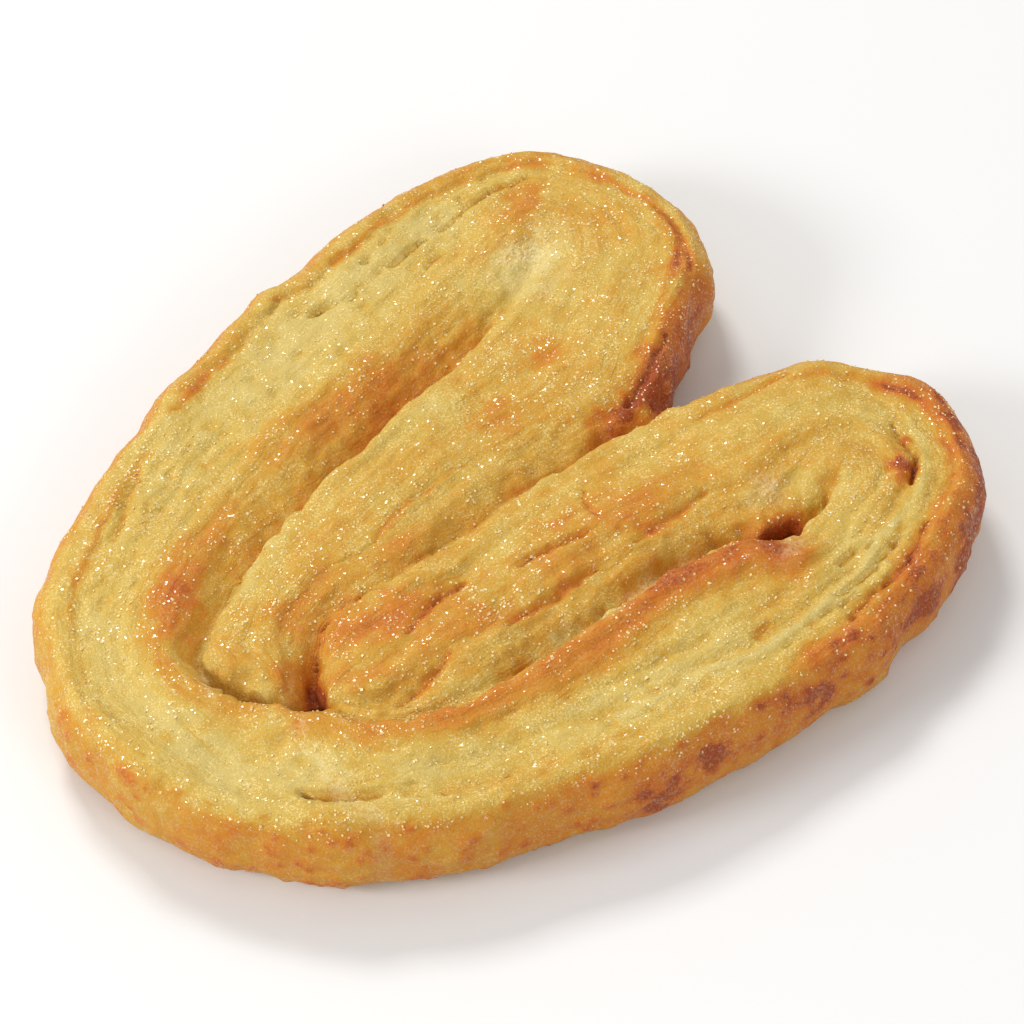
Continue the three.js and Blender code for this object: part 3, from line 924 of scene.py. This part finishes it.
def crust_material():
    """Baked dough: colour by how brown it is, streaked along the layers, glazed where sugar melted."""
    material, n, shader = new_material("golden_crust")
    place = n.add("ShaderNodeTexCoord").outputs["Object"]
    place = n.add("ShaderNodeVectorMath", {0: place, "Scale": 1000.0}, operation="SCALE").outputs[0]
    stored = {
        key: n.add("ShaderNodeAttribute", attribute_name=key).outputs["Fac"]
        for key in ("browning_and_shade", "layer", "glaze", "painted_hollow_shade", "dry_sugar")
    }
    grain = n.add("ShaderNodeGroup", node_tree=bpy.data.node_groups["baked_grain"])
    join(n, place, grain.inputs["Place"])
    join(n, stored["layer"], grain.inputs["Layer"])
    streaks, strata, fine, pores = (grain.outputs[k] for k in ("Streaks", "Strata", "Grain", "Pores"))
    specks = n.noise(place, 4.2, 2.0, 0.6)
    level = stored["browning_and_shade"]
    broad = n.noise(place, 0.55, 4.0, 0.6)
    mottling = ((streaks, 0.26), (strata, 0.24), (fine, 0.18), (specks, 0.16), (broad, 0.26))
    for texture, amount in mottling:
        level = n.math("ADD", level, n.math("MULTIPLY_ADD", texture, amount, -0.5 * amount))
    # painted shade: cracks and pores are coloured browner
    level = n.math("ADD", level, n.math("MULTIPLY", stored["painted_hollow_shade"], 0.24))
    shades = n.add("ShaderNodeGroup", node_tree=bpy.data.node_groups["baked_shades"])
    join(n, level, shades.inputs["Browning"])
    dusting = n.spread(n.noise(place, 4.0, 3.0, 0.7), 0.46, 0.62)
    patchy = n.spread(n.noise(place, 0.45, 3.0), 0.38, 0.62, 0.35, 0.85)
    frost = n.math("MULTIPLY", dusting, n.math("MULTIPLY", patchy, n.spread(level, 0.30, 0.60, 1.0, 0.25)))
    colour = n.mix(frost, shades.outputs["Shade"], (0.80, 0.62, 0.24))
    crumbly = n.spread(n.noise(place, 2.6, 3.0, 0.65), 0.36, 0.60)
    dry = n.math("MULTIPLY", stored["dry_sugar"], crumbly, clamp=True)
    colour = n.mix(dry, colour, (0.86, 0.74, 0.44))
    join(n, colour, shader.inputs["Base Color"])
    join(n, n.math("MULTIPLY_ADD", fine, 0.2, 0.45), shader.inputs["Roughness"])
    shader.inputs["Specular IOR Level"].default_value = 0.2
    facets = n.add("ShaderNodeTexVoronoi", {"Vector": place, "Scale": FACETS_PER_MM, "Randomness": 1.0})
    facets = facets.outputs["Color"]
    chance = n.add("ShaderNodeSeparateXYZ", {"Vector": facets})
    wet = n.math("GREATER_THAN", chance.outputs[2], n.math("MULTIPLY_ADD", stored["glaze"], -0.12, 0.985))
    join(n, wet, shader.inputs["Coat Weight"])
    shader.inputs["Coat Roughness"].default_value = 0.16
    shader.inputs["Coat IOR"].default_value = 1.6
    height = n.math("MULTIPLY_ADD", streaks, 1.1, strata)
    for texture, amount in ((fine, 0.35), (specks, 0.2), (pores, 0.15), (dusting, 0.16)):
        height = n.math("MULTIPLY_ADD", texture, amount, height)
    bump = n.add("ShaderNodeBump", {"Strength": 0.45, "Distance": 0.0005, "Height": height})
    join(n, bump.outputs[0], shader.inputs["Normal"])
    tilt = n.add("ShaderNodeVectorMath", {0: facets, 1: (0.5, 0.5, 0.5)}, operation="SUBTRACT")
    tilt = n.add("ShaderNodeVectorMath", {0: tilt.outputs[0], 1: (0.4, 0.4, 0.0)}, operation="MULTIPLY")
    outward = n.add("ShaderNodeNewGeometry").outputs["Normal"]
    tilt = n.add("ShaderNodeVectorMath", {0: outward, 1: tilt.outputs[0]}, operation="ADD")
    tilt = n.add("ShaderNodeVectorMath", {0: tilt.outputs[0]}, operation="NORMALIZE")
    join(n, tilt.outputs[0], shader.inputs["Coat Normal"])
    return material


def sugar_material():
    """Glassy grains that take on the colour of the dough they sit in."""
    material, n, shader = new_material("sugar_grain")
    place = n.add("ShaderNodeTexCoord").outputs["Object"]
    place = n.add("ShaderNodeVectorMath", {0: place, "Scale": 1000.0}, operation="SCALE").outputs[0]
    syrup = n.add("ShaderNodeAttribute", attribute_name="browning_and_shade").outputs["Fac"]
    shades = n.add("ShaderNodeGroup", node_tree=bpy.data.node_groups["baked_shades"])
    level = n.math("MULTIPLY_ADD", n.noise(place, 0.9, 2.0), 0.3, n.math("ADD", syrup, -0.25))
    join(n, level, shades.inputs["Browning"])
    clear = n.spread(n.noise(place, 1.3, 2.0), 0.40, 0.60, 0.35, 0.85)
    join(n, n.mix(clear, shades.outputs["Shade"], (0.86, 0.72, 0.38)), shader.inputs["Base Color"])
    shader.inputs["Roughness"].default_value = 0.24
    shader.inputs["IOR"].default_value = 1.45
    return material


def table_material(colour):
    material, n, shader = new_material("plain_table")
    shader.inputs["Base Color"].default_value = (*colour, 1.0)
    shader.inputs["Roughness"].default_value = 0.7
    return material


# ---------------------------------------------------------------------------------------------
# Operators
# ---------------------------------------------------------------------------------------------


class PALMIER_OT_pastry(bpy.types.Operator):
    """Build the folded pastry as one closed crust"""

    bl_idname = "palmier.pastry"
    bl_label = "Folded pastry"

    def execute(self, context):
        dough = context.scene.palmier_dough
        level, step = dough.level / MM, dough.mesh_step / MM
        plan = PlanGrid()
        field, low = dough_field(plan, level, step)
        points, quads = surface_net(field, low, step)
        normals = vertex_normals(points, quads)
        spot = plan.at(ragged(points[:, :2], 0.3, 151))
        brown, spots = browning_and_shade(spot, points, normals, level)
        moved, pores = relief(spot, points, normals, level, dough.relief)
        moved += 0.16 * spots[:, None] * normals
        moved[:, 2] = np.maximum(moved[:, 2], 0.0)
        share, _ = crack_share(points[:, :2])
        piece = mesh_object("palmier_crust", moved, quads)
        store(piece, "browning_and_shade", brown)
        store(piece, "layer", spot.layer)
        store(piece, "glaze", shine_mask(points, brown))
        store(piece, "dry_sugar", patches(FROSTED, points[:, :2], 235))
        # painted shade in the cracks and pores, read by the crust's colour
        store(piece, "painted_hollow_shade", np.clip(share + 1.5 * pores, 0, 1))
        if "baked_grain" not in bpy.data.node_groups:
            baked_grain_group()
        if "baked_shades" not in bpy.data.node_groups:
            baked_shades_group(context.scene.palmier_colours)
        piece.data.materials.append(crust_material())
        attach(piece, "root")
        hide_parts(CAD_NODE)
        return {"FINISHED"}


class PALMIER_OT_sugar(bpy.types.Operator):
    """Scatter grains of sugar over the pastry's upper face"""

    bl_idname = "palmier.sugar"
    bl_label = "Sugar grains"

    def execute(self, context):
        sugar = context.scene.palmier_sugar
        crust = bpy.data.objects.get("palmier_crust")
        if crust is None:
            raise RuntimeError("make the folded pastry first")
        rng = np.random.default_rng(sugar.seed)
        mesh = crust.data
        count = len(mesh.polygons)
        centre = np.empty(count * 3)
        mesh.polygons.foreach_get("center", centre)
        facing = np.empty(count * 3)
        mesh.polygons.foreach_get("normal", facing)
        area = np.empty(count)
        mesh.polygons.foreach_get("area", area)
        centre, facing = centre.reshape(-1, 3) / MM, facing.reshape(-1, 3)
        clusters = ramp(noise(centre, 5.0, 301, 3), -0.5, 0.9)
        fine = ramp(noise(centre, 1.4, 305, 2), -0.3, 0.6)
        wanted = ramp(facing[:, 2], 0.15, 0.8) * (0.25 + clusters) * (0.3 + fine)
        wanted *= 0.08 + 0.92 * ramp(centre[:, 2], 9.0, 11.2)
        chosen = rng.choice(count, sugar.count, p=area * wanted / (area * wanted).sum())
        place = centre[chosen] + rng.uniform(-0.22, 0.22, (sugar.count, 3)) * (1 - np.abs(facing[chosen]))
        size = rng.uniform(0, 1, sugar.count) ** 1.8
        edge = (sugar.smallest + (sugar.largest - sugar.smallest) * size) / MM
        sides = edge[:, None] * rng.uniform(0.7, 1.15, (sugar.count, 3)) * (1.0, 1.0, 0.32)
        up = facing[chosen] + 0.26 * rng.normal(size=(sugar.count, 3))
        up /= np.linalg.norm(up, axis=1, keepdims=True)
        along = np.cross(up, rng.normal(size=(sugar.count, 3)))
        along /= np.linalg.norm(along, axis=1, keepdims=True)
        turn = np.stack([along, np.cross(up, along), up], axis=2)
        cube = np.array([(x, y, z) for x in (-0.5, 0.5) for y in (-0.5, 0.5) for z in (-0.5, 0.5)])
        faces = np.array([(0, 1, 3, 2), (4, 6, 7, 5), (0, 4, 5, 1), (2, 3, 7, 6), (0, 2, 6, 4), (1, 5, 7, 3)])
        corners = np.einsum("nij,nkj->nki", turn, cube[None] * sides[:, None])
        corners += (place + facing[chosen] * (0.05 * edge)[:, None])[:, None]
        corners[:, :, 2] = np.maximum(corners[:, :, 2], 0.02)
        quads = (faces[None] + 8 * np.arange(sugar.count)[:, None, None]).reshape(-1, 4)
        piece = mesh_object("sugar_grains", corners.reshape(-1, 3), quads, smooth=False)
        under = np.empty(len(mesh.vertices), np.float32)
        mesh.attributes["browning_and_shade"].data.foreach_get("value", under)
        corner = np.empty(count * 4, np.int32)
        mesh.polygons.foreach_get("vertices", corner)
        store(piece, "browning_and_shade", np.repeat(under[corner.reshape(-1, 4)[chosen, 0]], 8))
        piece.data.materials.append(sugar_material())
        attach(piece, "root")
        return {"FINISHED"}


def softbox(name, direction, distance, size, power, target, tint=(1.0, 1.0, 1.0)):
    light = bpy.data.lights.new(name, "AREA")
    light.shape = "RECTANGLE"
    light.size, light.size_y = size
    light.energy = power
    light.color = tint
    lamp = bpy.data.objects.new(name, light)
    away = Vector(direction).normalized()
    lamp.location = target + away * distance
    lamp.rotation_mode = "QUATERNION"
    lamp.rotation_quaternion = (-away).to_track_quat("-Z", "Y")
    bpy.context.scene.collection.objects.link(lamp)


class PALMIER_OT_stage(bpy.types.Operator):
    """Set up the camera, the table and soft studio light"""

    bl_idname = "palmier.stage"
    bl_label = "Table, camera and light"

    def execute(self, context):
        stage = context.scene.palmier_stage
        ends = [(-1, -1, 0), (1, -1, 0), (1, 1, 0), (-1, 1, 0)]
        corners = np.array(ends) * TABLE_REACH / MM
        table = mesh_object("table_top", corners, np.array([(0, 1, 2, 3)]))
        table.data.materials.append(table_material(stage.table))
        target = Vector(CAMERA_TARGET) * MM
        a, e = stage.azimuth, stage.elevation
        back = Vector((math.sin(a) * math.cos(e), -math.cos(a) * math.cos(e), math.sin(e)))
        camera = bpy.data.cameras.new("camera")
        camera.lens = stage.lens
        camera.sensor_width = 36.0
        camera.clip_start = 0.01
        holder = bpy.data.objects.new("camera", camera)
        holder.location = target + back * stage.distance
        holder.rotation_mode = "QUATERNION"
        holder.rotation_quaternion = (-back).to_track_quat("-Z", "Y")
        context.scene.collection.objects.link(holder)
        context.scene.camera = holder
        softbox("key_softbox", (-0.80, 0.30, 0.95), 1.5, (0.42, 0.30), stage.key, target, (1.0, 0.985, 0.96))
        softbox("fill_softbox", (-0.45, -1.0, 0.6), 0.8, (0.26, 0.20), stage.fill, target)
        softbox("right_softbox", (1.0, -0.1, 0.7), 0.8, (0.30, 0.24), 0.3 * stage.fill, target)
        world = bpy.data.worlds.new("room")
        world.use_nodes = True
        world.node_tree.nodes["Background"].inputs["Color"].default_value = (1.0, 0.99, 0.97, 1.0)
        world.node_tree.nodes["Background"].inputs["Strength"].default_value = stage.sky
        context.scene.world = world
        context.scene.view_settings.view_transform = "Standard"
        return {"FINISHED"}


class PALMIER_PT_panel(bpy.types.Panel):
    """The palmier's pieces and settings"""

    bl_idname = "PALMIER_PT_panel"
    bl_label = "Palmier"
    bl_space_type = "VIEW_3D"
    bl_region_type = "UI"
    bl_category = "Palmier"

    def draw(self, context):
        for group in ("palmier_dough", "palmier_colours", "palmier_sugar", "palmier_stage"):
            box = self.layout.box()
            settings = getattr(context.scene, group)
            for key in settings.bl_rna.properties.keys():
                if key not in ("rna_type", "name"):
                    box.prop(settings, key)
        for operator in (PALMIER_OT_pastry, PALMIER_OT_sugar, PALMIER_OT_stage):
            self.layout.operator(operator.bl_idname)


SETTINGS = {
    "palmier_dough": PalmierDough,
    "palmier_colours": PalmierColours,
    "palmier_sugar": PalmierSugar,
    "palmier_stage": PalmierStage,
}
CLASSES = [*SETTINGS.values(), PALMIER_OT_pastry, PALMIER_OT_sugar, PALMIER_OT_stage, PALMIER_PT_panel]


def register():
    for cls in CLASSES:
        bpy.utils.register_class(cls)
    for name, cls in SETTINGS.items():
        setattr(bpy.types.Scene, name, bpy.props.PointerProperty(type=cls))


def unregister():
    for name in SETTINGS:
        delattr(bpy.types.Scene, name)
    for cls in reversed(CLASSES):
        bpy.utils.unregister_class(cls)


def main():
    register()
    bpy.ops.palmier.pastry()
    bpy.ops.palmier.sugar()
    bpy.ops.palmier.stage()
    bpy.context.view_layer.update()


if __name__ == "__main__":
    main()
